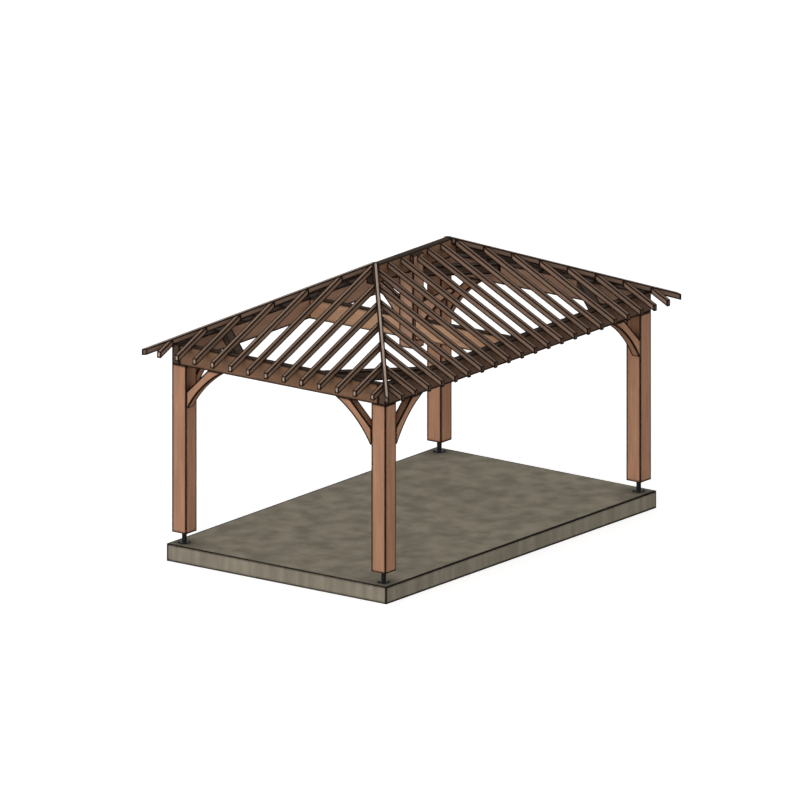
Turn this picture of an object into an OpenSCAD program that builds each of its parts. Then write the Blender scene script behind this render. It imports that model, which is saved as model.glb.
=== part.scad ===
// Timber gazebo: an open hip roof of close-set rafters on four heavy posts
// The origin is the middle of the slab's underside. X runs along the long side,
// Y along the short side and Z up. All sizes are in millimetres.

/* [Frame] */
// Length of the frame over the outer faces of its posts
frame_length = 6096; // [4900:1:7400]
// Width of the frame over the outer faces of its posts
frame_width = 3658; // [3000:1:4400]
// Height of the beams' underside above the slab
headroom = 2562; // [2100:1:3100]

/* [Slab] */
// Thickness of the concrete slab
slab_thickness = 246; // [120:1:300]
// How far the slab runs out past the posts
slab_margin = 51; // [20:1:70]

/* [Posts] */
// Side of the square posts
post_side = 241; // [190:1:290]
// Height of the posts' feet above the slab
foot_height = 166; // [90:1:200]

/* [Steel bases] */
// Side of the square plate on the slab
base_plate_side = 122; // [90:1:180]
// Thickness of the plate on the slab
base_plate_thickness = 12; // [6:1:16]
// Diameter of the steel stem under each post
stem_diameter = 66; // [36:1:90]
// Side of the square plate that carries the post
top_plate_side = 110; // [80:1:170]
// Thickness of the plate that carries the post
top_plate_thickness = 8; // [5:1:12]

/* [Beams] */
// Width of the beams and of the braces under them
beam_width = 127; // [100:1:160]
// Depth of the beams on the posts
beam_depth = 286; // [230:1:330]
// Depth of the ridge beam, up to the flat along its top
ridge_depth = 278; // [220:1:330]
// Width of the flat along the top of the ridge beam
ridge_flat = 52; // [20:1:80]
// How far the king post hangs below the tie beam
pendant_drop = 124; // [40:1:200]

/* [Corner ties] */
// Width of the ties laid level across the corners of the frame
corner_tie_width = 140; // [90:1:180]
// Depth of the corner ties
corner_tie_depth = 136; // [90:1:200]
// How far from its corner the middle of a tie would meet the frame's outer faces
corner_tie_reach = 1206; // [900:1:1500]

/* [Knee braces] */
// How far a brace reaches out along the beam
brace_reach = 622; // [500:1:700]
// How far a brace reaches down the post
brace_drop = 595; // [480:1:700]
// How far from the post the straight back of a brace meets the beam
brace_back_reach = 370; // [280:1:420]
// How far below the beam the straight back of a brace meets the post
brace_back_drop = 364; // [280:1:420]
// Width of the blunt toe at a brace's foot
brace_toe = 25; // [15:1:60]
// Radius of the arched underside of a brace
brace_radius = 1546; // [900:1:2600]

/* [Struts] */
// Width of the struts beside the king post
strut_width = 64; // [40:1:100]
// How far out from the king post a strut's foot stands on the tie beam
strut_foot = 127; // [80:1:200]
// Height above the tie beam at which the straight back of a strut leaves the king post
strut_shoulder = 222; // [150:1:320]
// Angle at which the straight back of a strut rises
strut_angle = 30.5; // [20:0.5:45]
// How far out from the king post the arched side of a strut meets the rafter
strut_reach = 652; // [500:1:800]
// Radius of the arched side of a strut
strut_radius = 2450; // [1500:10:4000]

/* [Roof] */
// Rise of the roof from the beams' outer face to the apex line
roof_rise = 902; // [700:1:1100]
// Length of the apex line, from hip to hip
ridge_span = 1660; // [1200:1:2400]
// How far the eaves run out past the frame
eave_reach = 305; // [200:1:380]
// How far the ridge beam runs on past the apex line at each end
ridge_nose = 122; // [90:1:160]

/* [Rafters] */
// Width of the rafters
rafter_width = 64; // [40:1:80]
// Height of the rafters, measured plumb
rafter_height = 87; // [75:1:140]
// Depth of the notch that seats a rafter on its beam
seat_depth = 16; // [10:1:30]
// Spacing of the rafters from centre to centre
rafter_spacing = 304.8; // [280:0.1:460]
// Width of the hip rafters
hip_width = 64; // [50:1:90]

/* [Hidden] */

half_length = frame_length / 2;
half_width = frame_width / 2;
post_x = half_length - post_side / 2;
post_y = half_width - post_side / 2;
slab_top = slab_thickness;
post_foot = slab_top + foot_height;
beam_bottom = slab_top + headroom;
beam_top = beam_bottom + beam_depth;

// The roof: the top line of the rafters, and how steeply it rises from each side
edge_top = beam_top + rafter_height - seat_depth;
apex_top = edge_top + roof_rise;
hip_run = half_length - ridge_span / 2;
slope_long = roof_rise / half_width;
slope_short = roof_rise / hip_run;
ridge_bottom = apex_top - slope_long * ridge_flat / 2 - ridge_depth;
ridge_half = ridge_span / 2 + ridge_nose;

// The hips, in plan, run from a corner of the frame to an end of the apex line
hip_angle = atan2(half_width, hip_run);
hip_length = norm([hip_run, half_width]);
hip_slope = roof_rise / hip_length;

far = frame_length;

// Every corner is [side along X, side along Y], each -1 or 1
front_left = [-1, -1];
front_right = [1, -1];
back_right = [1, 1];
back_left = [-1, 1];
CORNERS = [front_left, front_right, back_right, back_left];

// Turns what is drawn for the front left corner into any other corner
module at_corner(corner) {
    mirror([corner[0] > 0 ? 1 : 0, 0, 0])
        mirror([0, corner[1] > 0 ? 1 : 0, 0])
            children();
}

// A box from its lowest corner to its highest
module block(low, high) {
    translate(low)
        cube(high - low);
}

module slab() {
    reach = [half_length + slab_margin, half_width + slab_margin];
    color("#8a8276")
        block([-reach[0], -reach[1], 0], [reach[0], reach[1], slab_top]);
}

// A plate on the slab, a stem and a smaller plate under the post
module post_base(corner) {
    color("#2c2c2e")
        at_corner(corner)
            translate([-post_x, -post_y, slab_top]) {
                translate([-base_plate_side / 2, -base_plate_side / 2, 0])
                    cube([base_plate_side, base_plate_side, base_plate_thickness]);
                cylinder(h = foot_height, d = stem_diameter, $fn = 48);
                translate([-top_plate_side / 2, -top_plate_side / 2, foot_height - top_plate_thickness])
                    cube([top_plate_side, top_plate_side, top_plate_thickness]);
            }
}

module post(corner) {
    color("#a67c60")
        at_corner(corner)
            translate([-post_x, -post_y, 0])
                block([-post_side / 2, -post_side / 2, post_foot], [post_side / 2, post_side / 2, beam_bottom]);
}

// The long beams run the whole length; the short ones and the tie fit between them
module long_beam(side) {
    color("#84644f")
        mirror([0, side > 0 ? 1 : 0, 0])
            block([-half_length, -half_width, beam_bottom], [half_length, beam_width - half_width, beam_top]);
}

module short_beam(side) {
    reach = half_width - beam_width;
    color("#84644f")
        mirror([side > 0 ? 1 : 0, 0, 0])
            block([-half_length, -reach, beam_bottom], [beam_width - half_length, reach, beam_top]);
}

module tie_solid() {
    reach = half_width - beam_width;
    block([-beam_width / 2, -reach, beam_bottom], [beam_width / 2, reach, beam_top]);
}

module tie_beam() {
    color("#84644f")
        tie_solid();
}

// Each corner tie fits between the inner faces of two beams, level with their tops
module corner_tie(corner) {
    color("#84644f")
        at_corner(corner)
            intersection() {
                translate([corner_tie_reach - half_length, -half_width, 0])
                    rotate([0, 0, 135])
                        block([-far, -corner_tie_width / 2, beam_top - corner_tie_depth],
                            [far, corner_tie_width / 2, beam_top]);
                block([beam_width - half_length, beam_width - half_width, beam_bottom], [0, 0, beam_top]);
            }
}

// The top of the roof seen from its end: planed to both slopes, with a flat between
module ridge_end_view(width, bottom) {
    side = width / 2;
    flat = ridge_flat / 2;
    polygon([
        [-side, bottom],
        [side, bottom],
        [side, apex_top - slope_long * side],
        [flat, apex_top - slope_long * flat],
        [-flat, apex_top - slope_long * flat],
        [-side, apex_top - slope_long * side]
    ]);
}

// The ridge beam seen from its side: past the apex line it follows the end slopes
module ridge_side_view() {
    polygon([
        [-ridge_half, ridge_bottom],
        [ridge_half, ridge_bottom],
        [ridge_half, apex_top - slope_short * ridge_nose],
        [ridge_span / 2, apex_top],
        [-ridge_span / 2, apex_top],
        [-ridge_half, apex_top - slope_short * ridge_nose]
    ]);
}

// The king post rises to the roof: the tie beam runs through it, and the ridge
// beam lies in an open slot in its head
module king_post() {
    color("#a67c60")
        difference() {
            rotate([90, 0, 90])
                linear_extrude(post_side, center = true)
                    ridge_end_view(post_side, beam_bottom - pendant_drop);
            tie_solid();
            block([-post_side, -beam_width / 2, ridge_bottom], [post_side, beam_width / 2, 2 * apex_top]);
        }
}

// Makes room for a rafter in a timber, open above
module housing_for() {
    children();
    translate([0, 0, rafter_height / 2])
        children();
}

// The ridge beam's ends are housed for the hips and for the end rafters
module ridge_beam() {
    color("#84644f")
        difference() {
            intersection() {
                rotate([90, 0, 90])
                    linear_extrude(2 * ridge_half, center = true)
                        ridge_end_view(beam_width, ridge_bottom);
                rotate([90, 0, 0])
                    linear_extrude(beam_width, center = true)
                        ridge_side_view();
            }
            for (corner = CORNERS)
                housing_for()
                    hip_solid(corner);
            for (side = [-1, 1])
                housing_for()
                    end_rafter_solid(side);
        }
}

// A brace in the X and Z plane: an outline whose side from toe to tip is hollowed
// to an arch
module arched_brace(outline, toe, tip, radius, width) {
    chord = tip - toe;
    half_chord = norm(chord) / 2;
    rise = sqrt(radius * radius - half_chord * half_chord);
    centre = (tip + toe) / 2 + rise * [chord[1], -chord[0]] / (2 * half_chord);
    rotate([90, 0, 0])
        difference() {
            linear_extrude(width, center = true)
                polygon(outline);
            translate([centre[0], centre[1], -width])
                cylinder(h = 2 * width, r = radius, $fn = 180);
        }
}

// A knee brace, with the post's face at x = 0 and the beam's underside at z = 0
module knee_brace() {
    toe = [brace_toe, -brace_drop];
    tip = [brace_reach, 0];
    arched_brace([[0, -brace_drop], toe, tip, [brace_back_reach, 0], [0, -brace_back_drop]],
        toe, tip, brace_radius, beam_width);
}

// The brace of a corner along its long beam, as wide as the beam
module long_brace(corner) {
    color("#8f6d57")
        at_corner(corner)
            translate([post_side - half_length, beam_width / 2 - half_width, beam_bottom])
                knee_brace();
}

// The brace of a corner along its short beam
module short_brace(corner) {
    color("#a67c60")
        at_corner(corner)
            translate([beam_width / 2 - half_length, post_side - half_width, beam_bottom])
                rotate([0, 0, 90])
                    knee_brace();
}

// The struts stand on the tie beam beside the king post and carry the middle
// rafters: here the king post's face is at x = 0 and the tie beam's top at z = 0
module strut() {
    function under_rafter(out) = slope_long * (half_width - post_side / 2 - out) - seat_depth;
    back = (under_rafter(0) - strut_shoulder) / (tan(strut_angle) + slope_long);
    toe = [strut_foot, 0];
    tip = [strut_reach, under_rafter(strut_reach)];
    arched_brace([[0, 0], toe, tip, [back, under_rafter(back)], [0, strut_shoulder]],
        toe, tip, strut_radius, strut_width);
}

module king_post_struts() {
    color("#a67c60")
        for (side = [-1, 1])
            translate([0, side * post_side / 2, beam_top])
                rotate([0, 0, side * 90])
                    strut();
}

// The side view of a rafter. Its first number is the distance in from the frame's
// outer face; it is cut plumb at both ends and notched to sit on the beam.
module rafter_profile(tail, head, slope) {
    function top(run) = edge_top + slope * run;
    polygon([
        [-tail, top(-tail) - rafter_height],
        [0, top(0) - rafter_height],
        [0, beam_top],
        [seat_depth / slope, beam_top],
        [head, top(head) - rafter_height],
        [head, top(head)],
        [-tail, top(-tail)]
    ]);
}

// A rafter that climbs towards +X from the frame's outer face at x = 0
module rafter(tail, head, slope, width) {
    rotate([90, 0, 0])
        linear_extrude(width, center = true)
            rafter_profile(tail, head, slope);
}

// Each hip runs from the eaves, where it is cut along them, up to an end of the
// apex line, where it meets the other hip of that end on the middle of the roof
module hip_solid(corner) {
    reach = [half_length + eave_reach, half_width + eave_reach];
    at_corner(corner)
        intersection() {
            translate([-half_length, -half_width, 0])
                rotate([0, 0, hip_angle])
                    rafter(2 * eave_reach, hip_length + hip_width, hip_slope, hip_width);
            block([-reach[0], -reach[1], 0], [-ridge_span / 2, 0, 2 * apex_top]);
        }
}

module hip_rafter(corner) {
    color("#8f7868")
        hip_solid(corner);
}

// The space beside a hip, in plan, that is filled by the jack rafters of a long side
module beside_hip_long() {
    translate([-half_length, -half_width, 0])
        rotate([0, 0, hip_angle])
            translate([-far, -far - hip_width / 2, 0])
                cube([2 * far, far, 2 * apex_top]);
}

// The same for the jack rafters of a short side
module beside_hip_short() {
    translate([-half_length, -half_width, 0])
        rotate([0, 0, hip_angle])
            translate([-far, hip_width / 2, 0])
                cube([2 * far, far, 2 * apex_top]);
}

// Rafters of the long sides stand at whole spacings from the middle of the frame
long_count = floor(half_length / rafter_spacing + 0.001);
short_count = floor(half_width / rafter_spacing + 0.001);
common_count = floor((ridge_span / 2 - rafter_width / 2) / rafter_spacing);

// Their heads meet the ridge beam, or the king post where it is in the way
module long_side_rafter(x) {
    head_gap = abs(x) < (post_side + rafter_width) / 2 ? post_side / 2 : beam_width / 2;
    translate([x, -half_width, 0])
        rotate([0, 0, 90])
            rafter(eave_reach, half_width - head_gap, slope_long, rafter_width);
}

module short_side_rafter(y) {
    translate([-half_length, y, 0])
        rafter(eave_reach, hip_run, slope_short, rafter_width);
}

// The end rafter is cut to a point that fits between the two hips of its end
module end_rafter_solid(side) {
    mirror([side > 0 ? 1 : 0, 0, 0])
        intersection() {
            short_side_rafter(0);
            beside_hip_short();
            mirror([0, 1, 0])
                beside_hip_short();
        }
}

module common_rafters(side) {
    color("#8f7868")
        mirror([0, side > 0 ? 1 : 0, 0])
            for (i = [-common_count : common_count])
                long_side_rafter(i * rafter_spacing);
}

module common_rafter(side) {
    color("#8f7868")
        end_rafter_solid(side);
}

module long_jacks(corner) {
    color("#8f7868")
        at_corner(corner)
            for (i = [common_count + 1 : long_count])
                intersection() {
                    long_side_rafter(-i * rafter_spacing);
                    beside_hip_long();
                }
}

module short_jacks(corner) {
    color("#8f7868")
        at_corner(corner)
            for (i = [1 : short_count])
                intersection() {
                    short_side_rafter(-i * rafter_spacing);
                    beside_hip_short();
                }
}

slab();
post_base(front_left);  // post_base_front_left
post_base(front_right);  // post_base_front_right
post_base(back_right);  // post_base_back_right
post_base(back_left);  // post_base_back_left
post(front_left);  // post_front_left
post(front_right);  // post_front_right
post(back_right);  // post_back_right
post(back_left);  // post_back_left
long_beam(-1);  // beam_front
long_beam(1);  // beam_back
short_beam(-1);  // beam_left
short_beam(1);  // beam_right
tie_beam();
king_post();
ridge_beam();
corner_tie(front_left);  // corner_tie_front_left
corner_tie(front_right);  // corner_tie_front_right
corner_tie(back_right);  // corner_tie_back_right
corner_tie(back_left);  // corner_tie_back_left
long_brace(front_left);  // brace_front_left_long
long_brace(front_right);  // brace_front_right_long
long_brace(back_right);  // brace_back_right_long
long_brace(back_left);  // brace_back_left_long
short_brace(front_left);  // brace_front_left_short
short_brace(front_right);  // brace_front_right_short
short_brace(back_right);  // brace_back_right_short
short_brace(back_left);  // brace_back_left_short
king_post_struts();
hip_rafter(front_left);  // hip_front_left
hip_rafter(front_right);  // hip_front_right
hip_rafter(back_right);  // hip_back_right
hip_rafter(back_left);  // hip_back_left
common_rafters(-1);  // common_rafters_front
common_rafters(1);  // common_rafters_back
common_rafter(-1);  // common_rafter_left
common_rafter(1);  // common_rafter_right
long_jacks(front_left);  // jack_rafters_front_left
long_jacks(front_right);  // jack_rafters_front_right
long_jacks(back_right);  // jack_rafters_back_right
long_jacks(back_left);  // jack_rafters_back_left
short_jacks(front_left);  // jack_rafters_left_front
short_jacks(front_right);  // jack_rafters_right_front
short_jacks(back_right);  // jack_rafters_right_back
short_jacks(back_left);  // jack_rafters_left_back
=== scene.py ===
import math
import bmesh
import bpy
from bpy.props import FloatProperty, FloatVectorProperty, PointerProperty
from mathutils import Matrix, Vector


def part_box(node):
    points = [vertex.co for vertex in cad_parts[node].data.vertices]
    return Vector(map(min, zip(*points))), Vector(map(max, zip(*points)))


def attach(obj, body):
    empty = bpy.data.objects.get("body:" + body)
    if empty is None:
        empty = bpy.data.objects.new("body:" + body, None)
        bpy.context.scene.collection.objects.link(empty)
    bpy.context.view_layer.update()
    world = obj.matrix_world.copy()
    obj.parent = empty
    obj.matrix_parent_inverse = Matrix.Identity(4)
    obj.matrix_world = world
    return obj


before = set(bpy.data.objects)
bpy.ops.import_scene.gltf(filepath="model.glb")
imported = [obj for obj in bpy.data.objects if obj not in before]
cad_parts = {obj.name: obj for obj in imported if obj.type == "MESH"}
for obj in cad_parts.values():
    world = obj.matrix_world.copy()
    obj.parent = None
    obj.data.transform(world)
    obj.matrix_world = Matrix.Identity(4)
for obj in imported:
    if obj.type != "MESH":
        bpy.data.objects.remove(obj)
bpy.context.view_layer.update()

bl_info = {
    "name": "Timber gazebo finish",
    "version": (1, 0, 0),
    "blender": (4, 5, 0),
    "location": "View3D > Sidebar > Gazebo",
    "description": "Finishes the timber, steel and concrete of a hip-roofed gazebo and sets its studio",
    "category": "Object",
}

CORNERS = ["front_left", "front_right", "back_right", "back_left"]
X_AXIS, Y_AXIS, UP = Vector((1, 0, 0)), Vector((0, 1, 0)), Vector((0, 0, 1))

# A face is a sawn end when it looks this much along the grain, either way
END_FACING = 0.75
# A face is a top when it looks this much upwards
UP_FACING = 0.5
# Cosine of the turn to the eased edge, where the edge's dark line starts and is full
EDGE_STARTS, EDGE_FULL = 0.993, 0.978
# Rays that look for an edge or for open air
MASK_SAMPLES = 8
# The readings of a noise that are used: nearly all, or only the middle ones, which
# gives a harder change from dark to light
ALL_READINGS, MIDDLE_READINGS = (0.3, 0.7), (0.35, 0.65)
# Readings of open air that give the painted shade: in a tight joint and off it, and close to a post's
# foot and off it
JOINT_AIR, FOOT_AIR = (0.2, 0.85), (0.5, 1.0)
# How much of the early wood's colour the late wood has, in the rings of a sawn end
LATE_WOOD = 0.8
# Length of one period of the wave texture at scale 1
WAVE_PERIOD = math.tau / 20
# How many times as tall as wide the streaks of the cast sides are
STREAK_STRETCH = 20 / 3

NUT_SIDES, ROD_SIDES, WASHER_SIDES = 6, 12, 24
# Steps round a stem, sides of the bead of weld, and height and length of its ripples
STEM_STEPS, BEAD_SIDES = 96, 8
RIPPLE_HEIGHT, RIPPLE_STEPS = 0.12, 3

# How far the floor reaches from the middle, and how far it lies below the slab
FLOOR_REACH, FLOOR_DROP = 60, 0.001
CAMERA_DISTANCE, CAMERA_REACH = 20, 200
# How fast the glow of the walls fades with height
GLOW_FADE = 3.0


def linear(code):
    """An sRGB hex colour as the linear numbers that Blender's sockets hold."""
    values = [int(code[i:i + 2], 16) / 255 for i in (1, 3, 5)]
    return tuple(v / 12.92 if v <= 0.04045 else ((v + 0.055) / 1.055) ** 2.4 for v in values)


def mm(value):
    """Millimetres as the metres that Blender works in."""
    return value / 1000


# ---------------------------------------------------------------- properties

class TimberFinish(bpy.types.PropertyGroup):
    post_colour: FloatVectorProperty(
        name="Posts", description="Stained fir of the posts",
        subtype="COLOR", size=3, min=0, max=1, default=linear("#BB8C6F"))
    # Painted light: a lighter copy of the stained fir for the beams' inner faces, which lie in the
    # shade of the roof
    beam_lit_colour: FloatVectorProperty(
        name="Beams", description="Stained fir of the beams' inner faces",
        subtype="COLOR", size=3, min=0, max=1, default=linear("#CCA58D"))
    # Painted light: the lightest copy of the fir, for the tie beam in the shade of the roof
    tie_beam_lit_colour: FloatVectorProperty(
        name="Tie beam", description="Fir with the most painted light, of the beam across the middle",
        subtype="COLOR", size=3, min=0, max=1, default=linear("#F2C29C"))
    # Painted light: a lighter copy of the fir for the king post and its struts, under the roof
    king_post_lit_colour: FloatVectorProperty(
        name="King post", description="Painted light on the fir of the king post and its struts",
        subtype="COLOR", size=3, min=0, max=1, default=linear("#D0A48A"))
    # Painted shade: a darker copy of the fir for the ridge and the short beams' outer faces, under the
    # eaves
    painted_shade_colour: FloatVectorProperty(
        name="Painted shade", description="The ridge, and the outer faces of the short beams",
        subtype="COLOR", size=3, min=0, max=1, default=linear("#8A6951"))
    # Painted shade: a still darker copy of the fir for the long beams' outer faces and the rafter ends
    # over them, under the rafters
    shaded_colour: FloatVectorProperty(
        name="Shaded faces", description="Outer faces of the long beams, and rafter ends over them",
        subtype="COLOR", size=3, min=0, max=1, default=linear("#6E5545"))
    # Painted light: lighter upper faces of the rafters on the long sides, where the light falls
    rafter_top_light_colour: FloatVectorProperty(
        name="Rafter tops", description="Upper faces of the rafters on the long sides",
        subtype="COLOR", size=3, min=0, max=1, default=linear("#8C7363"))
    # Painted shade: dark upward faces of the beams, the ridge and the king post, and the ridge's ends,
    # under the rafters
    painted_top_shade_colour: FloatVectorProperty(
        name="Top faces", description="Upward faces of the beams and the ridge, as painted shade",
        subtype="COLOR", size=3, min=0, max=1, default=linear("#4A3C33"))
    end_colour: FloatVectorProperty(
        name="End grain", description="Sawn ends of the timbers",
        subtype="COLOR", size=3, min=0, max=1, default=linear("#CDB6A4"))
    # Painted shade: a darker copy of the fir for the hips' sides
    hip_shade_colour: FloatVectorProperty(
        name="Hips", description="Stained fir of the hip rafters' sides",
        subtype="COLOR", size=3, min=0, max=1, default=linear("#7C6556"))
    # Painted light: paler upper faces of the hips, where the light falls
    hip_top_light_colour: FloatVectorProperty(
        name="Hip tops", description="Painted light on the upper faces of the four hip rafters",
        subtype="COLOR", size=3, min=0, max=1, default=linear("#C4AC9B"))
    # Painted shade: a darker copy of the fir for the corner ties, under the roof
    corner_tie_shade_colour: FloatVectorProperty(
        name="Corner ties", description="Painted shade on the fir of the ties across the corners",
        subtype="COLOR", size=3, min=0, max=1, default=linear("#5E4D41"))
    brace_colour: FloatVectorProperty(
        name="Braces", description="Stained fir of the knee braces",
        subtype="COLOR", size=3, min=0, max=1, default=linear("#BB8C6F"))
    # Painted shade: a darker copy of the fir for the rafters, under the roof
    rafter_shade_colour: FloatVectorProperty(
        name="Rafters", description="Stained fir of the common and jack rafters",
        subtype="COLOR", size=3, min=0, max=1, default=linear("#9E826F"))
    arris_colour: FloatVectorProperty(
        name="Arrises", description="Dark stain that gathers along the eased edges",
        subtype="COLOR", size=3, min=0, max=1, default=linear("#1A0F08"))
    arris_width: FloatProperty(
        name="Arris width", description="Reach of the dark stain on the edges of large timbers",
        subtype="DISTANCE", unit="LENGTH", min=0.001, max=0.1, default=mm(54))
    rafter_arris_width: FloatProperty(
        name="Rafter arris width", description="Reach of the dark stain on the edges of rafters",
        subtype="DISTANCE", unit="LENGTH", min=0.001, max=0.1, default=mm(44))
    pore_width: FloatProperty(
        name="Pore width", description="Width of the finest lines of the grain",
        subtype="DISTANCE", unit="LENGTH", min=0.0005, max=0.05, default=mm(3))
    rafter_spacing: FloatProperty(
        name="Rafter spacing", description="Middle to middle, so that each rafter has its own tone",
        subtype="DISTANCE", unit="LENGTH", min=0.1, max=1, default=mm(304.8))
    grain_width: FloatProperty(
        name="Grain width", description="Width of a streak of the grain",
        subtype="DISTANCE", unit="LENGTH", min=0.001, max=0.1, default=mm(16))
    figure_width: FloatProperty(
        name="Figure width", description="Width of a band of the wood's figure",
        subtype="DISTANCE", unit="LENGTH", min=0.01, max=0.5, default=mm(90))
    ring_width: FloatProperty(
        name="Ring width", description="Spacing of the annual rings in a sawn end",
        subtype="DISTANCE", unit="LENGTH", min=0.001, max=0.1, default=mm(7))
    # Reach of the painted shade near joints
    crevice_reach: FloatProperty(
        name="Crevice reach", description="How far from a joint the wood looks darker",
        subtype="DISTANCE", unit="LENGTH", min=0.01, max=1, default=mm(450))


class ConcreteFinish(bpy.types.PropertyGroup):
    top_colour: FloatVectorProperty(
        name="Top", description="Trowelled face of the slab",
        subtype="COLOR", size=3, min=0, max=1, default=linear("#9B9382"))
    side_colour: FloatVectorProperty(
        name="Sides", description="Faces cast against the boards",
        subtype="COLOR", size=3, min=0, max=1, default=linear("#978E7E"))
    edge_colour: FloatVectorProperty(
        name="Edge", description="Dark line along the slab's edges",
        subtype="COLOR", size=3, min=0, max=1, default=linear("#150F0A"))
    edge_width: FloatProperty(
        name="Edge width", description="Width of the dark edge on each face",
        subtype="DISTANCE", unit="LENGTH", min=0.001, max=0.1, default=mm(60))
    mottle_size: FloatProperty(
        name="Mottle size", description="Size of the clouds in the trowelled top",
        subtype="DISTANCE", unit="LENGTH", min=0.05, max=2, default=mm(300))
    # Reach of the painted shade round the posts' feet
    foot_shade_reach: FloatProperty(
        name="Foot shade reach", description="How far from the posts' feet the concrete looks darker",
        subtype="DISTANCE", unit="LENGTH", min=0.01, max=1, default=mm(380))
    streak_width: FloatProperty(
        name="Streak width", description="Width of the streaks down the cast sides",
        subtype="DISTANCE", unit="LENGTH", min=0.01, max=1, default=mm(120))
    grit_size: FloatProperty(
        name="Grit size", description="Size of the grains of the concrete",
        subtype="DISTANCE", unit="LENGTH", min=0.001, max=0.1, default=mm(6))


class SteelFinish(bpy.types.PropertyGroup):
    colour: FloatVectorProperty(
        name="Steel", description="Black powder coat of the post bases",
        subtype="COLOR", size=3, min=0, max=1, default=linear("#101012"))
    peel_size: FloatProperty(
        name="Peel size", description="Size of the waves of the coat's orange peel",
        subtype="DISTANCE", unit="LENGTH", min=0.001, max=0.1, default=mm(3))


class HardwareSizes(bpy.types.PropertyGroup):
    plate_thickness: FloatProperty(
        name="Base plate thickness", description="From the slab to the face under the nuts",
        subtype="DISTANCE", unit="LENGTH", min=0.001, max=0.1, default=mm(12))
    top_plate_thickness: FloatProperty(
        name="Top plate thickness", description="From the post's foot to the face over the screws",
        subtype="DISTANCE", unit="LENGTH", min=0.001, max=0.1, default=mm(8))
    stem_diameter: FloatProperty(
        name="Stem diameter", description="Steel stem between the two plates",
        subtype="DISTANCE", unit="LENGTH", min=0.01, max=0.5, default=mm(66))
    nut_spacing: FloatProperty(
        name="Nut spacing", description="Middle to middle of the nuts on a plate",
        subtype="DISTANCE", unit="LENGTH", min=0.01, max=0.5, default=mm(94))
    screw_spacing: FloatProperty(
        name="Screw spacing", description="Middle to middle of the screws under a top plate",
        subtype="DISTANCE", unit="LENGTH", min=0.01, max=0.5, default=mm(84))
    nut_width: FloatProperty(
        name="Nut width", description="Across the corners of a nut or a screw's head",
        subtype="DISTANCE", unit="LENGTH", min=0.001, max=0.1, default=mm(18))
    nut_height: FloatProperty(
        name="Nut height", description="Height of a nut's straight sides",
        subtype="DISTANCE", unit="LENGTH", min=0.001, max=0.1, default=mm(6.75))
    crown_width: FloatProperty(
        name="Crown width", description="Across the corners of a nut's eased top",
        subtype="DISTANCE", unit="LENGTH", min=0.001, max=0.1, default=mm(15.12))
    crown_height: FloatProperty(
        name="Crown height", description="Height of a nut's eased top",
        subtype="DISTANCE", unit="LENGTH", min=0.0005, max=0.1, default=mm(1.44))
    washer_width: FloatProperty(
        name="Washer width", description="Diameter of a washer",
        subtype="DISTANCE", unit="LENGTH", min=0.001, max=0.1, default=mm(22))
    washer_thickness: FloatProperty(
        name="Washer thickness", description="Thickness of a washer",
        subtype="DISTANCE", unit="LENGTH", min=0.0005, max=0.1, default=mm(2.2))
    rod_width: FloatProperty(
        name="Anchor width", description="Diameter of an anchor rod",
        subtype="DISTANCE", unit="LENGTH", min=0.001, max=0.1, default=mm(10))
    rod_stand: FloatProperty(
        name="Anchor stand", description="How far an anchor rod stands above its nut",
        subtype="DISTANCE", unit="LENGTH", min=0.001, max=0.1, default=mm(6.3))
    weld_width: FloatProperty(
        name="Weld width", description="Thickness of the weld bead round a stem",
        subtype="DISTANCE", unit="LENGTH", min=0.001, max=0.1, default=mm(8))


class StageLook(bpy.types.PropertyGroup):
    floor_colour: FloatVectorProperty(
        name="Floor", description="Pale studio floor",
        subtype="COLOR", size=3, min=0, max=1, default=linear("#F4F4F4"))
    floor_glow: FloatProperty(
        name="Floor glow", description="Strength of the glow that keeps the floor white",
        min=0, max=5, default=0.62)
    floor_bounce: FloatVectorProperty(
        name="Floor bounce", description="How much light the floor throws back up",
        subtype="COLOR", size=3, min=0, max=1, default=(0.3, 0.3, 0.3))
    picture_width: FloatProperty(
        name="Picture width", description="Width of what the camera takes in",
        subtype="DISTANCE", unit="LENGTH", min=1, max=50, default=10.989)
    azimuth: FloatProperty(
        name="Azimuth", description="Direction of the camera round the gazebo",
        subtype="ANGLE", default=math.radians(-53.263))
    elevation: FloatProperty(
        name="Elevation", description="Height of the camera above the horizon",
        subtype="ANGLE", default=math.radians(15.484))
    aim: FloatVectorProperty(
        name="Aim", description="The point at the middle of the picture",
        subtype="TRANSLATION", unit="LENGTH", size=3, default=(-2.3830, -1.5809, 2.7049))
    key_strength: FloatProperty(
        name="Key light", description="Strength of the soft light", min=0, max=20, default=1.0)
    fill_strength: FloatProperty(
        name="Fill light", description="Strength of the light without shadows",
        min=0, max=20, default=0.5)
    lamp_angle: FloatProperty(
        name="Lamp angle", description="How wide the soft lights look from the gazebo",
        subtype="ANGLE", default=math.radians(56))
    lamp_direction: FloatVectorProperty(
        name="Lamp direction", description="Where the soft lights come from",
        subtype="XYZ", size=3, default=(-0.97, -0.12, 0.17))
    sky_strength: FloatProperty(
        name="Sky", description="Strength of the even light from all round",
        min=0, max=5, default=0.33)
    wall_strength: FloatProperty(
        name="Walls", description="Strength of the glow near the horizon",
        min=0, max=5, default=1.1)


# ----------------------------------------------------------------- materials

def add(tree, kind, links=None, **settings):
    """Adds a node, sets what it is given, and links its inputs by name or number."""
    made = tree.nodes.new(kind)
    for key, value in settings.items():
        setattr(made, key, value)
    for key, value in (links or {}).items():
        socket = made.inputs[key]
        if isinstance(value, bpy.types.NodeSocket):
            tree.links.new(value, socket)
        else:
            socket.default_value = value
    return made


def new_material(name):
    material = bpy.data.materials.new(name)
    material.use_nodes = True
    material.node_tree.nodes.clear()
    return material, material.node_tree


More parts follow.
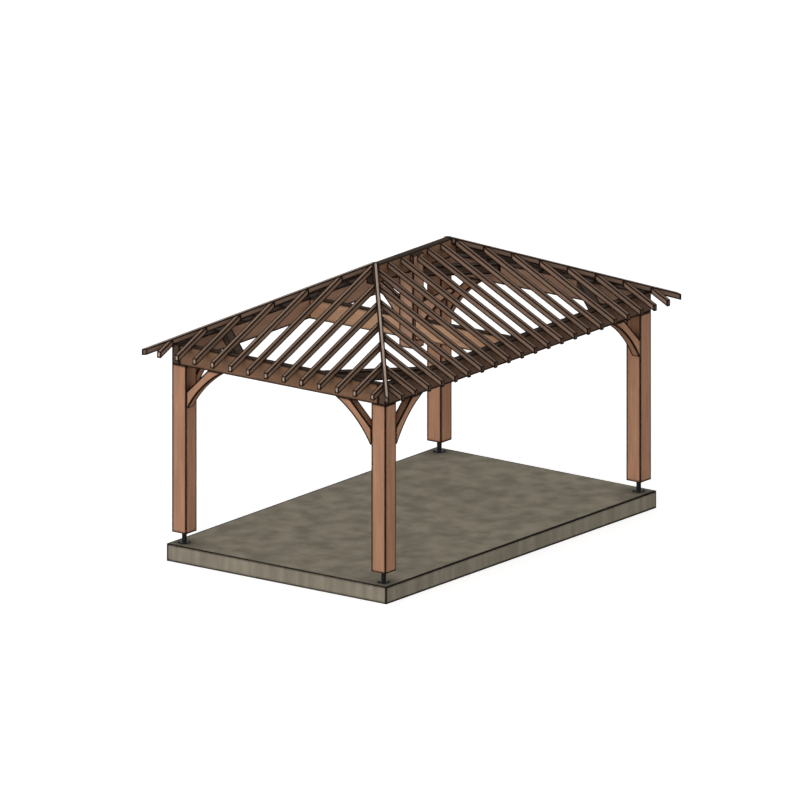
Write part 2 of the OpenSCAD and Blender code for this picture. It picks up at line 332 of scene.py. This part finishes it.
def rgba(colour):
    return (*colour, 1.0)


def blotches(tree, place, cell, detail, roughness=0.5):
    """Soft noise, with blotches about as large along X, Y and Z as the cell."""
    drawn = add(tree, "ShaderNodeMapping", {
        "Vector": place, "Scale": tuple(1 / side for side in cell)}, vector_type="POINT")
    return add(tree, "ShaderNodeTexNoise", {
        "Vector": drawn.outputs["Vector"], "Scale": 1.0,
        "Detail": detail, "Roughness": roughness}).outputs["Fac"]


def shade(tree, colour, layers):
    """The colour, darker or lighter by each layer in turn. A layer is a value, the two
    readings of it that are used, and the dark and the light tone that they give."""
    level = 1.0
    for value, (start, stop), dark, light in layers:
        tone = add(tree, "ShaderNodeMapRange", {
            "Value": value, "From Min": start, "From Max": stop,
            "To Min": dark, "To Max": light}).outputs[0]
        level = add(tree, "ShaderNodeMath", {0: level, 1: tone}, operation="MULTIPLY").outputs[0]
    grey = add(tree, "ShaderNodeCombineColor", {0: level, 1: level, 2: level}).outputs[0]
    return add(tree, "ShaderNodeMix", {0: 1.0, 6: colour, 7: grey},
               data_type="RGBA", blend_type="MULTIPLY").outputs[2]


def repaint(tree, colour, value, limit, other):
    """The colour, with the other one where the value is over the limit."""
    over = add(tree, "ShaderNodeMath", {0: value, 1: limit}, operation="GREATER_THAN").outputs[0]
    return add(tree, "ShaderNodeMix", {0: over, 6: colour, 7: other}, data_type="RGBA").outputs[2]


def line_edges(tree, colour, dark, width):
    """The colour, with a dark line of this width on both sides of each edge."""
    facing = add(tree, "ShaderNodeNewGeometry").outputs["Normal"]
    eased = add(tree, "ShaderNodeBevel", {
        "Radius": width}, samples=MASK_SAMPLES).outputs["Normal"]
    turn = add(tree, "ShaderNodeVectorMath", {0: facing, 1: eased}, operation="DOT_PRODUCT")
    near = add(tree, "ShaderNodeMapRange", {
        "Value": turn.outputs["Value"], "From Min": EDGE_STARTS, "From Max": EDGE_FULL}).outputs[0]
    return add(tree, "ShaderNodeMix", {
        0: near, 6: colour, 7: rgba(dark)}, data_type="RGBA").outputs[2]


def finish_material(tree, colour, bump, roughness, specular):
    shader = add(tree, "ShaderNodeBsdfPrincipled", {
        "Base Color": colour, "Roughness": roughness,
        "Specular IOR Level": specular, "Normal": bump.outputs["Normal"]})
    add(tree, "ShaderNodeOutputMaterial", {"Surface": shader.outputs["BSDF"]})


def timber(name, colour, along, finish, row=None, joint_shade=0.35, outer=None, painted_top=None,
           ends=None, slender=False):
    """Dressed fir with a semi-transparent stain: streaks of grain along the piece, wide soft bands of
    figure, darker edges, painted shade at the joints, and paler open grain on the sawn ends. Pores,
    rings and the dark along the edges are drawn wider than on real fir, where they would be too fine to
    show on a piece of this size. The other arguments give the direction of the grain, the axis and
    spacing of a row of rafters, and how dark the painted shade at a joint gets; then the colours of the
    faces away from the middle of the gazebo, of the upward faces and of the sawn ends, where they
    differ: painted shade, and on the upward faces of the hips and the long sides' rafters painted
    light. Slender pieces get the narrow dark edges of a rafter."""
    material, tree = new_material(name)
    place = add(tree, "ShaderNodeTexCoord").outputs["Object"]
    facing = add(tree, "ShaderNodeNewGeometry").outputs["Normal"]
    grain_way = Vector(along).normalized()
    turn = grain_way.rotation_difference(UP).to_euler()
    lying = add(tree, "ShaderNodeMapping", {
        "Vector": place, "Rotation": turn}, vector_type="POINT").outputs["Vector"]

    def streaks(width, stretch, detail):
        return blotches(tree, lying, (width, width, width * stretch), detail, roughness=0.55)

    figure = streaks(finish.figure_width, stretch=9, detail=1)
    grain = streaks(finish.grain_width, stretch=24, detail=2)
    pores = streaks(finish.pore_width, stretch=60, detail=1)
    layers = [
        (figure, ALL_READINGS, 0.9, 1.1),
        (grain, ALL_READINGS, 0.94, 1.06),
        (pores, MIDDLE_READINGS, 0.9, 1.08)]
    if row is not None:
        # Each rafter of a row is a board of its own, a little lighter or darker
        axis, spacing = row
        across = add(tree, "ShaderNodeSeparateXYZ", {0: place}).outputs[axis]
        number = add(tree, "ShaderNodeMath", {0: across, 1: 1 / spacing}, operation="MULTIPLY")
        whole = add(tree, "ShaderNodeMath", {0: number.outputs[0]}, operation="ROUND").outputs[0]
        board = add(tree, "ShaderNodeTexWhiteNoise", {"W": whole}, noise_dimensions="1D")
        layers.append((board.outputs["Value"], (0.0, 1.0), 0.94, 1.06))
    # Painted shade: the wood is darker near joints and other parts, by how little open air is round it
    occlusion = add(tree, "ShaderNodeAmbientOcclusion", {
        "Distance": finish.crevice_reach}, samples=MASK_SAMPLES).outputs["AO"]
    layers.append((occlusion, JOINT_AIR, joint_shade, 1.0))

    # The fir's stain; below, painted shade goes on the outer faces and most upward faces, and painted
    # light on the tops of the hips and the long sides' rafters
    stain = rgba(colour)
    # Painted shade on the faces that look away from the middle of the gazebo
    if outer is not None:
        flat = add(tree, "ShaderNodeVectorMath", {0: place, 1: (1, 1, 0)}, operation="MULTIPLY")
        away = add(tree, "ShaderNodeVectorMath", {
            0: facing, 1: flat.outputs[0]}, operation="DOT_PRODUCT").outputs["Value"]
        stain = repaint(tree, stain, away, 0.0, rgba(outer))
    end_on = add(tree, "ShaderNodeVectorMath", {
        0: facing, 1: grain_way}, operation="DOT_PRODUCT").outputs["Value"]
    end_on = add(tree, "ShaderNodeMath", {0: end_on}, operation="ABSOLUTE").outputs[0]
    rings = add(tree, "ShaderNodeTexWave", {
        "Vector": lying, "Scale": WAVE_PERIOD / finish.ring_width, "Distortion": 2.0,
        "Detail": 1.0, "Detail Scale": 0.2}, wave_type="RINGS", rings_direction="Z").outputs["Fac"]
    # Sawn ends with rings; the ridge's ends and those of the long sides' beams and rafters are painted
    # shade
    early = ends or outer or finish.end_colour
    late = rgba([value * LATE_WOOD for value in early])
    sawn = add(tree, "ShaderNodeMix", {0: rings, 6: rgba(early), 7: late}, data_type="RGBA")
    stain = repaint(tree, stain, end_on, END_FACING, sawn.outputs[2])
    # Painted shade on the upward faces of the beams, the ridge and the king post, and painted light on
    # those of the hips and the long sides' rafters
    if painted_top is not None:
        upward = add(tree, "ShaderNodeSeparateXYZ", {0: facing}).outputs["Z"]
        stain = repaint(tree, stain, upward, UP_FACING, rgba(painted_top))

    arris_width = finish.rafter_arris_width if slender else finish.arris_width
    wood = line_edges(tree, shade(tree, stain, layers), finish.arris_colour, arris_width)
    relief = add(tree, "ShaderNodeBump", {"Strength": 0.3, "Distance": mm(0.6), "Height": pores})
    finish_material(tree, wood, relief, roughness=0.75, specular=0.1)
    return material


def concrete(finish):
    """Cast concrete: clouds on the trowelled top, painted shade round the posts' feet, and streaks down
    the sides, where the wet concrete ran against the boards. The grit is drawn coarser than sand, so
    that it shows."""
    material, tree = new_material("cast_concrete")
    place = add(tree, "ShaderNodeTexCoord").outputs["Object"]
    facing = add(tree, "ShaderNodeNewGeometry").outputs["Normal"]
    upward = add(tree, "ShaderNodeSeparateXYZ", {0: facing}).outputs["Z"]

    grit = blotches(tree, place, [finish.grit_size] * 3, detail=2, roughness=0.6)
    grains = (grit, ALL_READINGS, 0.9, 1.1)
    mottle = blotches(tree, place, [finish.mottle_size] * 3, detail=3)
    width = finish.streak_width
    streak = blotches(tree, place, (width, width, width * STREAK_STRETCH), detail=2)
    # Painted shade round the posts' feet, by how little open air is round the slab there
    occlusion = add(tree, "ShaderNodeAmbientOcclusion", {
        "Distance": finish.foot_shade_reach}, samples=MASK_SAMPLES).outputs["AO"]

    sides = shade(tree, rgba(finish.side_colour), [(streak, MIDDLE_READINGS, 0.86, 1.14), grains])
    top = shade(tree, rgba(finish.top_colour), [
        (mottle, MIDDLE_READINGS, 0.8, 1.2), (occlusion, FOOT_AIR, 0.3, 1.0), grains])
    cast = repaint(tree, sides, upward, UP_FACING, top)
    cast = line_edges(tree, cast, finish.edge_colour, finish.edge_width)
    relief = add(tree, "ShaderNodeBump", {"Strength": 0.3, "Distance": mm(1), "Height": grit})
    finish_material(tree, cast, relief, roughness=0.9, specular=0.1)
    return material


def powder_coat(finish):
    """Black powder coat on steel: nearly even, with the fine orange peel of the coat."""
    material, tree = new_material("black_powder_coat")
    place = add(tree, "ShaderNodeTexCoord").outputs["Object"]
    peel = blotches(tree, place, [finish.peel_size] * 3, detail=1)
    coat = shade(tree, rgba(finish.colour), [(peel, ALL_READINGS, 0.9, 1.1)])
    relief = add(tree, "ShaderNodeBump", {"Strength": 0.1, "Distance": mm(0.5), "Height": peel})
    finish_material(tree, coat, relief, roughness=0.5, specular=0.25)
    return material


def give(nodes, material):
    """Leaves the named CAD pieces with this material alone."""
    for name in nodes:
        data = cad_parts[name].data
        data.materials.clear()
        data.materials.append(material)


# ------------------------------------------------------------------ hardware

def grow(name, points, nodes, material):
    """Runs a Geometry Nodes tree on bare points and keeps the result as a plain mesh.
    Nodes takes the tree, the points' socket and a maker of named inputs, and returns
    the geometry; the tree ends in Realize Instances and Set Material."""
    mesh = bpy.data.meshes.new(name)
    mesh.from_pydata([tuple(point) for point in points], [], [])
    start = bpy.data.objects.new(name + "_points", mesh)
    bpy.context.scene.collection.objects.link(start)
    tree = bpy.data.node_groups.new(name, "GeometryNodeTree")
    tree.interface.new_socket("Geometry", in_out="INPUT", socket_type="NodeSocketGeometry")
    tree.interface.new_socket("Geometry", in_out="OUTPUT", socket_type="NodeSocketGeometry")
    entry = tree.nodes.new("NodeGroupInput")
    given = {}

    def size(label, value):
        socket = tree.interface.new_socket(label, in_out="INPUT", socket_type="NodeSocketFloat")
        given[socket.identifier] = value
        return entry.outputs[label]

    made = nodes(tree, entry.outputs["Geometry"], size)
    real = add(tree, "GeometryNodeRealizeInstances", {0: made}).outputs[0]
    done = add(tree, "GeometryNodeSetMaterial", {"Geometry": real, "Material": material}).outputs[0]
    add(tree, "NodeGroupOutput", {0: done})
    modifier = start.modifiers.new(name, "NODES")
    modifier.node_group = tree
    for identifier, value in given.items():
        modifier[identifier] = value
    depsgraph = bpy.context.evaluated_depsgraph_get()
    result = bpy.data.meshes.new_from_object(start.evaluated_get(depsgraph))
    result.name = name
    piece = bpy.data.objects.new(name, result)
    bpy.context.scene.collection.objects.link(piece)
    bpy.data.objects.remove(start)
    if not result.polygons:
        raise RuntimeError(f"{name} came out empty")
    return piece


def drum(tree, sides, radius, height, lift=0.0, top=None):
    """A prism, or a cone where its top has another radius, raised by the lift."""
    form = add(tree, "GeometryNodeMeshCone", {
        "Vertices": sides, "Radius Top": radius if top is None else top,
        "Radius Bottom": radius, "Depth": height})
    raised = add(tree, "ShaderNodeCombineXYZ", {2: lift}).outputs[0]
    return add(tree, "GeometryNodeTransform", {
        "Geometry": form.outputs["Mesh"], "Translation": raised}).outputs[0]


def fasteners(sizes, spacing, hanging=False):
    """Tree for four fasteners in a square round each point: a washer and a six-sided head
    with an eased top. They hang head down, or stand as nuts, with the end of their rod."""
    def nodes(tree, points, size):
        gap = size("Spacing", spacing)
        nut = size("Nut radius", sizes.nut_width / 2)
        height = size("Nut height", sizes.nut_height)
        crown = size("Crown radius", sizes.crown_width / 2)
        crown_height = size("Crown height", sizes.crown_height)
        washer = size("Washer radius", sizes.washer_width / 2)
        thickness = size("Washer thickness", sizes.washer_thickness)
        shoulder = add(tree, "ShaderNodeMath", {
            0: thickness, 1: height}, operation="ADD").outputs[0]

        head = add(tree, "GeometryNodeJoinGeometry")
        parts = [drum(tree, WASHER_SIDES, washer, thickness),
                 drum(tree, NUT_SIDES, nut, height, thickness),
                 drum(tree, NUT_SIDES, nut, crown_height, shoulder, crown)]
        if not hanging:
            rod = size("Anchor radius", sizes.rod_width / 2)
            stand = size("Anchor stand", sizes.rod_stand)
            parts.append(drum(tree, ROD_SIDES, rod, stand, shoulder))
        for part in reversed(parts):
            tree.links.new(part, head.inputs[0])
        one = head.outputs[0]
        if hanging:
            one = add(tree, "GeometryNodeTransform", {
                "Geometry": one, "Scale": (1, 1, -1)}).outputs[0]
            one = add(tree, "GeometryNodeFlipFaces", {0: one}).outputs[0]

        square = add(tree, "GeometryNodeMeshGrid", {
            "Size X": gap, "Size Y": gap, "Vertices X": 2, "Vertices Y": 2}).outputs["Mesh"]
        spots = add(tree, "GeometryNodeInstanceOnPoints", {
            "Points": points, "Instance": square}).outputs[0]
        spots = add(tree, "GeometryNodeRealizeInstances", {0: spots}).outputs[0]
        # Nuts are done up by hand, so no two are turned alike
        turn = add(tree, "FunctionNodeRandomValue", {
            "Min": 0.0, "Max": math.tau / NUT_SIDES, "Seed": 7}, data_type="FLOAT").outputs["Value"]
        turned = add(tree, "ShaderNodeCombineXYZ", {2: turn}).outputs[0]
        return add(tree, "GeometryNodeInstanceOnPoints", {
            "Points": spots, "Instance": one, "Rotation": turned}).outputs[0]
    return nodes


def beads(sizes):
    """Tree for a weld bead round the stem at each point, with the ripples of its run."""
    def nodes(tree, points, size):
        stem = add(tree, "GeometryNodeCurvePrimitiveCircle", {
            "Resolution": STEM_STEPS,
            "Radius": size("Stem radius", sizes.stem_diameter / 2)}).outputs["Curve"]
        step = add(tree, "GeometryNodeInputIndex").outputs[0]
        wave = add(tree, "ShaderNodeMath", {
            0: step, 1: math.tau / RIPPLE_STEPS}, operation="MULTIPLY").outputs[0]
        wave = add(tree, "ShaderNodeMath", {0: wave}, operation="SINE").outputs[0]
        swell = add(tree, "ShaderNodeMath", {
            0: wave, 1: RIPPLE_HEIGHT, 2: 1.0}, operation="MULTIPLY_ADD").outputs[0]
        stem = add(tree, "GeometryNodeSetCurveRadius", {"Curve": stem, "Radius": swell}).outputs[0]
        section = add(tree, "GeometryNodeCurvePrimitiveCircle", {
            "Resolution": BEAD_SIDES,
            "Radius": size("Weld radius", sizes.weld_width / 2)}).outputs["Curve"]
        run = add(tree, "GeometryNodeCurveToMesh", {
            "Curve": stem, "Profile Curve": section}).outputs[0]
        return add(tree, "GeometryNodeInstanceOnPoints", {
            "Points": points, "Instance": run}).outputs[0]
    return nodes


# -------------------------------------------------------------------- studio

def lay_floor(look):
    """A pale floor that looks white to the camera and throws back a little light."""
    mesh = bpy.data.meshes.new("studio_floor")
    form = bmesh.new()
    bmesh.ops.create_grid(form, x_segments=1, y_segments=1, size=FLOOR_REACH)
    form.to_mesh(mesh)
    form.free()
    floor = bpy.data.objects.new("studio_floor", mesh)
    bpy.context.scene.collection.objects.link(floor)
    floor.location.z = -FLOOR_DROP
    material, tree = new_material("pale_floor")
    seen = add(tree, "ShaderNodeLightPath").outputs["Is Camera Ray"]
    paint = add(tree, "ShaderNodeMix", {
        0: seen, 6: rgba(look.floor_bounce), 7: rgba(look.floor_colour)}, data_type="RGBA")
    matte = add(tree, "ShaderNodeBsdfDiffuse", {"Color": paint.outputs[2]})
    strength = add(tree, "ShaderNodeMath", {0: seen, 1: look.floor_glow}, operation="MULTIPLY")
    glow = add(tree, "ShaderNodeEmission", {"Strength": strength.outputs[0]})
    both = add(tree, "ShaderNodeAddShader", {0: matte.outputs[0], 1: glow.outputs[0]})
    add(tree, "ShaderNodeOutputMaterial", {"Surface": both.outputs[0]})
    mesh.materials.append(material)


def light_walls(look):
    """White walls that glow evenly all round, most of all near the horizon."""
    world = bpy.data.worlds.new("studio")
    world.use_nodes = True
    tree = world.node_tree
    tree.nodes.clear()
    path = add(tree, "ShaderNodeLightPath")
    mirrored = add(tree, "ShaderNodeMath", {
        0: path.outputs["Is Camera Ray"], 1: path.outputs["Is Glossy Ray"]}, operation="MAXIMUM")
    direct = add(tree, "ShaderNodeMath", {
        0: mirrored.outputs[0], 1: path.outputs["Is Transmission Ray"]}, operation="MAXIMUM")
    looked = add(tree, "ShaderNodeTexCoord").outputs["Generated"]
    height = add(tree, "ShaderNodeSeparateXYZ", {0: looked}).outputs["Z"]
    level = add(tree, "ShaderNodeMath", {0: height}, operation="ABSOLUTE").outputs[0]
    near = add(tree, "ShaderNodeMath", {0: 1.0, 1: level}, operation="SUBTRACT").outputs[0]
    band = add(tree, "ShaderNodeMath", {0: near, 1: GLOW_FADE}, operation="POWER").outputs[0]
    glow = add(tree, "ShaderNodeMath", {
        0: band, 1: look.wall_strength, 2: look.sky_strength}, operation="MULTIPLY_ADD").outputs[0]
    walls = add(tree, "ShaderNodeBackground", {"Color": (1, 1, 1, 1), "Strength": glow})
    backdrop = add(tree, "ShaderNodeBackground", {"Color": (1, 1, 1, 1), "Strength": 1.0})
    mixed = add(tree, "ShaderNodeMixShader", {
        0: direct.outputs[0], 1: walls.outputs[0], 2: backdrop.outputs[0]})
    add(tree, "ShaderNodeOutputWorld", {"Surface": mixed.outputs[0]})
    bpy.context.scene.world = world


def hang_lamps(look):
    """A soft key light, and a fill without shadows that reaches the wood under the roof."""
    for name, strength, shadow in (("key", look.key_strength, True),
                                   ("fill", look.fill_strength, False)):
        lamp = bpy.data.lights.new(name, "SUN")
        lamp.energy = strength
        lamp.angle = look.lamp_angle
        lamp.use_shadow = shadow
        light = bpy.data.objects.new(name, lamp)
        light.rotation_mode = "QUATERNION"
        light.rotation_quaternion = Vector(look.lamp_direction).to_track_quat("Z", "Y")
        bpy.context.scene.collection.objects.link(light)


def place_camera(look):
    """A parallel camera that looks at the aim."""
    data = bpy.data.cameras.new("camera")
    data.type = "ORTHO"
    data.ortho_scale = look.picture_width
    data.clip_end = CAMERA_REACH
    camera = bpy.data.objects.new("camera", data)
    a, e = look.azimuth, look.elevation
    back = Vector((math.sin(a) * math.cos(e), -math.cos(a) * math.cos(e), math.sin(e)))
    camera.rotation_mode = "QUATERNION"
    camera.rotation_quaternion = (-back).to_track_quat("-Z", "Y")
    camera.location = Vector(look.aim) + back * CAMERA_DISTANCE
    bpy.context.scene.collection.objects.link(camera)
    bpy.context.scene.camera = camera


# ----------------------------------------------------------------- operators

class GAZEBO_OT_stage(bpy.types.Operator):
    """Set the floor, the light and the camera"""
    bl_idname = "gazebo.stage"
    bl_label = "Set the studio"

    def execute(self, context):
        look = context.scene.gazebo_stage
        lay_floor(look)
        light_walls(look)
        hang_lamps(look)
        place_camera(look)
        context.scene.view_settings.view_transform = "Standard"
        return {"FINISHED"}


class GAZEBO_OT_timber(bpy.types.Operator):
    """Finish every timber, with its grain along the piece"""
    bl_idname = "gazebo.timber"
    bl_label = "Finish the timbers"

    def execute(self, context):
        finish = context.scene.gazebo_timber
        # Painted shade colour for the upward faces
        painted_top = finish.painted_top_shade_colour
        jobs = [
            # Each job's darkening in the joints is painted shade; the beams' outer faces, the upward
            # faces and the whole ridge are painted shade, and the king post, the tie beam and the
            # beams' inner faces are lighter copies, painted light
            ([f"post_{corner}" for corner in CORNERS], "post_fir", finish.post_colour, UP,
             {"joint_shade": 0.2}),
            (["king_post"], "king_post_fir", finish.king_post_lit_colour, UP,
             {"joint_shade": 0.05, "painted_top": painted_top}),
            (["king_post_struts"], "king_post_strut_fir", finish.king_post_lit_colour, UP, {}),
            (["beam_front", "beam_back"], "long_beam_fir", finish.beam_lit_colour, X_AXIS,
             {"joint_shade": 0.6, "outer": finish.shaded_colour, "painted_top": painted_top}),
            (["beam_left", "beam_right"], "short_beam_fir", finish.beam_lit_colour, Y_AXIS,
             {"joint_shade": 0.6, "outer": finish.painted_shade_colour, "painted_top": painted_top}),
            (["tie_beam"], "tie_beam_fir", finish.tie_beam_lit_colour, Y_AXIS,
             {"joint_shade": 1.0, "painted_top": painted_top}),
            (["ridge_beam"], "ridge_fir", finish.painted_shade_colour, X_AXIS,
             {"painted_top": painted_top, "ends": painted_top})]
        for corner in CORNERS:
            inward = Vector((1 if "left" in corner else -1, 1 if "front" in corner else -1, 0))
            low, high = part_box(f"hip_{corner}")
            climb = Vector(((high.x - low.x) * inward.x, (high.y - low.y) * inward.y,
                            high.z - low.z))
            jobs += [
                ([f"brace_{corner}_long"], f"brace_{corner}_long_fir",
                 finish.brace_colour, (inward.x, 0, 1), {}),
                ([f"brace_{corner}_short"], f"brace_{corner}_short_fir",
                 finish.brace_colour, (0, inward.y, 1), {}),
                # Painted shade: the corner ties are a darker copy of the fir
                ([f"corner_tie_{corner}"], f"corner_tie_{corner}_fir",
                 finish.corner_tie_shade_colour, (inward.x, -inward.y, 0), {}),
                # Painted shade on the hips' sides and painted light on their tops
                ([f"hip_{corner}"], f"hip_{corner}_fir", finish.hip_shade_colour, climb,
                 {"joint_shade": 0.6, "painted_top": finish.hip_top_light_colour, "slender": True})]
        # Painted light on the long sides' rafter tops and painted shade on their ends
        long_side_light_and_shade = {"painted_top": finish.rafter_top_light_colour, "ends": finish.shaded_colour}
        # A side's common rafters, the sides that its jack rafters end at, the axis that its rafters
        # climb along, and what is different on it: on the long sides, painted light on the rafter tops
        # and painted shade on their ends
        for side, commons, ends, axis, differs in (
                ("front", "common_rafters_front", ("left", "right"), 1, long_side_light_and_shade),
                ("back", "common_rafters_back", ("left", "right"), 1, long_side_light_and_shade),
                ("left", "common_rafter_left", ("front", "back"), 0, {}),
                ("right", "common_rafter_right", ("front", "back"), 0, {})):
            low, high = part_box(commons)
            climb = Vector((0, 0, high.z - low.z))
            climb[axis] = (high[axis] - low[axis]) * (1 if side in ("front", "left") else -1)
            # The rafters are a darker copy of the fir, painted shade
            jobs.append((
                [commons, *(f"jack_rafters_{side}_{end}" for end in ends)],
                f"{side}_rafter_fir", finish.rafter_shade_colour, climb,
                {"row": (1 - axis, finish.rafter_spacing), "joint_shade": 0.6, "slender": True,
                 **differs}))
        for nodes, name, colour, along, differs in jobs:
            give(nodes, timber(name, colour, along, finish, **differs))
        return {"FINISHED"}


class GAZEBO_OT_concrete(bpy.types.Operator):
    """Finish the cast slab"""
    bl_idname = "gazebo.concrete"
    bl_label = "Finish the slab"

    def execute(self, context):
        give(["slab"], concrete(context.scene.gazebo_concrete))
        return {"FINISHED"}


class GAZEBO_OT_steel(bpy.types.Operator):
    """Finish the steel post bases"""
    bl_idname = "gazebo.steel"
    bl_label = "Finish the post bases"

    def execute(self, context):
        give([f"post_base_{corner}" for corner in CORNERS],
             powder_coat(context.scene.gazebo_steel))
        return {"FINISHED"}


class GAZEBO_OT_hardware(bpy.types.Operator):
    """Add the nuts, screws and welds of the post bases"""
    bl_idname = "gazebo.hardware"
    bl_label = "Add the hardware"

    def execute(self, context):
        sizes = context.scene.gazebo_hardware
        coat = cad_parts["post_base_front_left"].data.materials[0]
        feet, heads = [], []
        for corner in CORNERS:
            low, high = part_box(f"post_base_{corner}")
            middle = (low + high) / 2
            feet.append(Vector((middle.x, middle.y, low.z + sizes.plate_thickness)))
            heads.append(Vector((middle.x, middle.y, high.z - sizes.top_plate_thickness)))
        pieces = [
            grow("anchor_nuts", feet, fasteners(sizes, sizes.nut_spacing), coat),
            grow("post_screws", heads, fasteners(sizes, sizes.screw_spacing, hanging=True), coat),
            grow("stem_welds", feet + heads, beads(sizes), coat)]
        for piece in pieces:
            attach(piece, "root")
        return {"FINISHED"}


class GAZEBO_PT_panel(bpy.types.Panel):
    """The gazebo's finishes, in the order in which they are made"""
    bl_idname = "GAZEBO_PT_panel"
    bl_label = "Gazebo"
    bl_space_type = "VIEW_3D"
    bl_region_type = "UI"
    bl_category = "Gazebo"

    def draw(self, context):
        for group, operator in (("gazebo_stage", "gazebo.stage"),
                                ("gazebo_timber", "gazebo.timber"),
                                ("gazebo_concrete", "gazebo.concrete"),
                                ("gazebo_steel", "gazebo.steel"),
                                ("gazebo_hardware", "gazebo.hardware")):
            box = self.layout.box()
            holder = getattr(context.scene, group)
            for name in GROUPS[group].__annotations__:
                box.prop(holder, name)
            box.operator(operator)


GROUPS = {
    "gazebo_stage": StageLook,
    "gazebo_timber": TimberFinish,
    "gazebo_concrete": ConcreteFinish,
    "gazebo_steel": SteelFinish,
    "gazebo_hardware": HardwareSizes,
}
CLASSES = [*GROUPS.values(), GAZEBO_OT_stage, GAZEBO_OT_timber, GAZEBO_OT_concrete,
           GAZEBO_OT_steel, GAZEBO_OT_hardware, GAZEBO_PT_panel]


def register():
    for cls in CLASSES:
        bpy.utils.register_class(cls)
    for name, group in GROUPS.items():
        setattr(bpy.types.Scene, name, PointerProperty(type=group))


def unregister():
    for name in GROUPS:
        delattr(bpy.types.Scene, name)
    for cls in reversed(CLASSES):
        bpy.utils.unregister_class(cls)


def main():
    register()
    bpy.ops.gazebo.stage()
    bpy.ops.gazebo.timber()
    bpy.ops.gazebo.concrete()
    bpy.ops.gazebo.steel()
    bpy.ops.gazebo.hardware()


if __name__ == "__main__":
    main()
